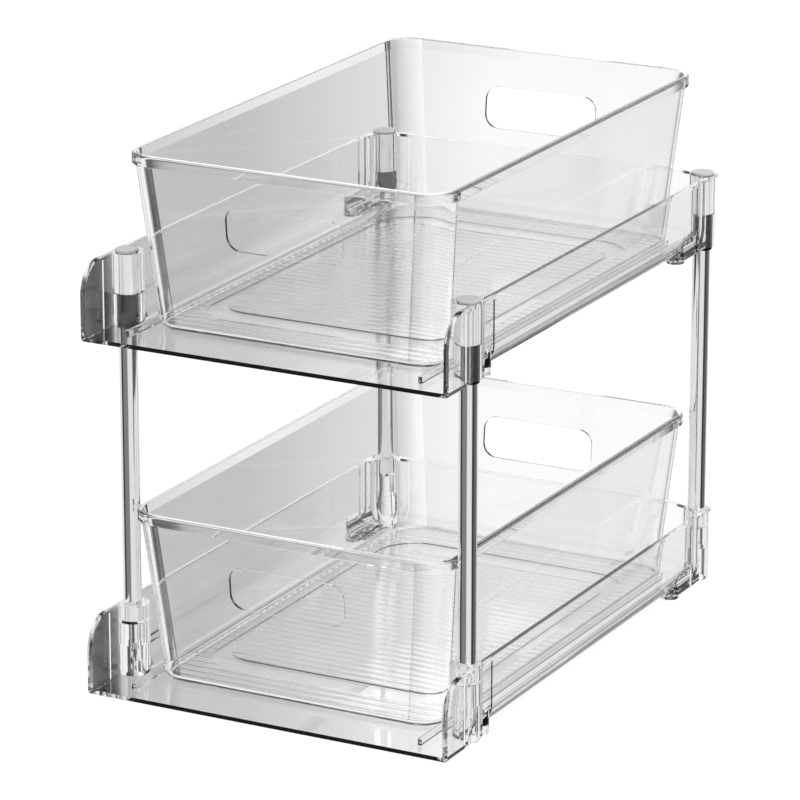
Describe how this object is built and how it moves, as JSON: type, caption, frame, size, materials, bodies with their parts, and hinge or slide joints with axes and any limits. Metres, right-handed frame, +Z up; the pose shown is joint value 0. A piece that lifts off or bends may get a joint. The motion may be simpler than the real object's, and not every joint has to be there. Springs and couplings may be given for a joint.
{
  "type": "under sink organizer",
  "caption": "Two-tier under sink organizer: clear trays stacked on slim chrome posts, each carrying a clear pull-out bin with handle slots.",
  "frame": {"origin": "on the ground under the feet, at the middle of the footprint's bounding box", "axes": "+X to the right as seen from the open front, +Y from the open front to the back wall, +Z up along the posts"},
  "size_m": [0.2164, 0.329, 0.2952],
  "materials": {
    "clear_plastic": "clear, smooth and glossy",
    "chrome": "bright plated steel tube",
    "black_plastic": "black, satin",
    "grey_plastic": "light grey, matte"
  },
  "bodies": {
    "stand": {"lower_tray": "clear_plastic", "upper_tray": "clear_plastic", "post_front_left": "chrome", "post_front_right": "chrome", "post_rear_left": "chrome", "post_rear_right": "chrome", "stop_sleeve_front_left": "black_plastic", "stop_sleeve_front_right": "black_plastic", "stop_sleeve_rear_left": "black_plastic", "stop_sleeve_rear_right": "black_plastic", "cap_front_left": "grey_plastic", "cap_front_right": "grey_plastic", "cap_rear_left": "grey_plastic", "cap_rear_right": "grey_plastic"},
    "lower_drawer": {"lower_bin": "clear_plastic"},
    "upper_drawer": {"upper_bin": "clear_plastic"}
  },
  "joints": [
    {"name": "lower_bin_slide", "type": "slide", "parent": "stand", "child": "lower_drawer", "axis": [0, -1, 0], "range_m": [0, 0.17]},
    {"name": "upper_bin_slide", "type": "slide", "parent": "stand", "child": "upper_drawer", "axis": [0, -1, 0], "range_m": [0, 0.17]}
  ]
}
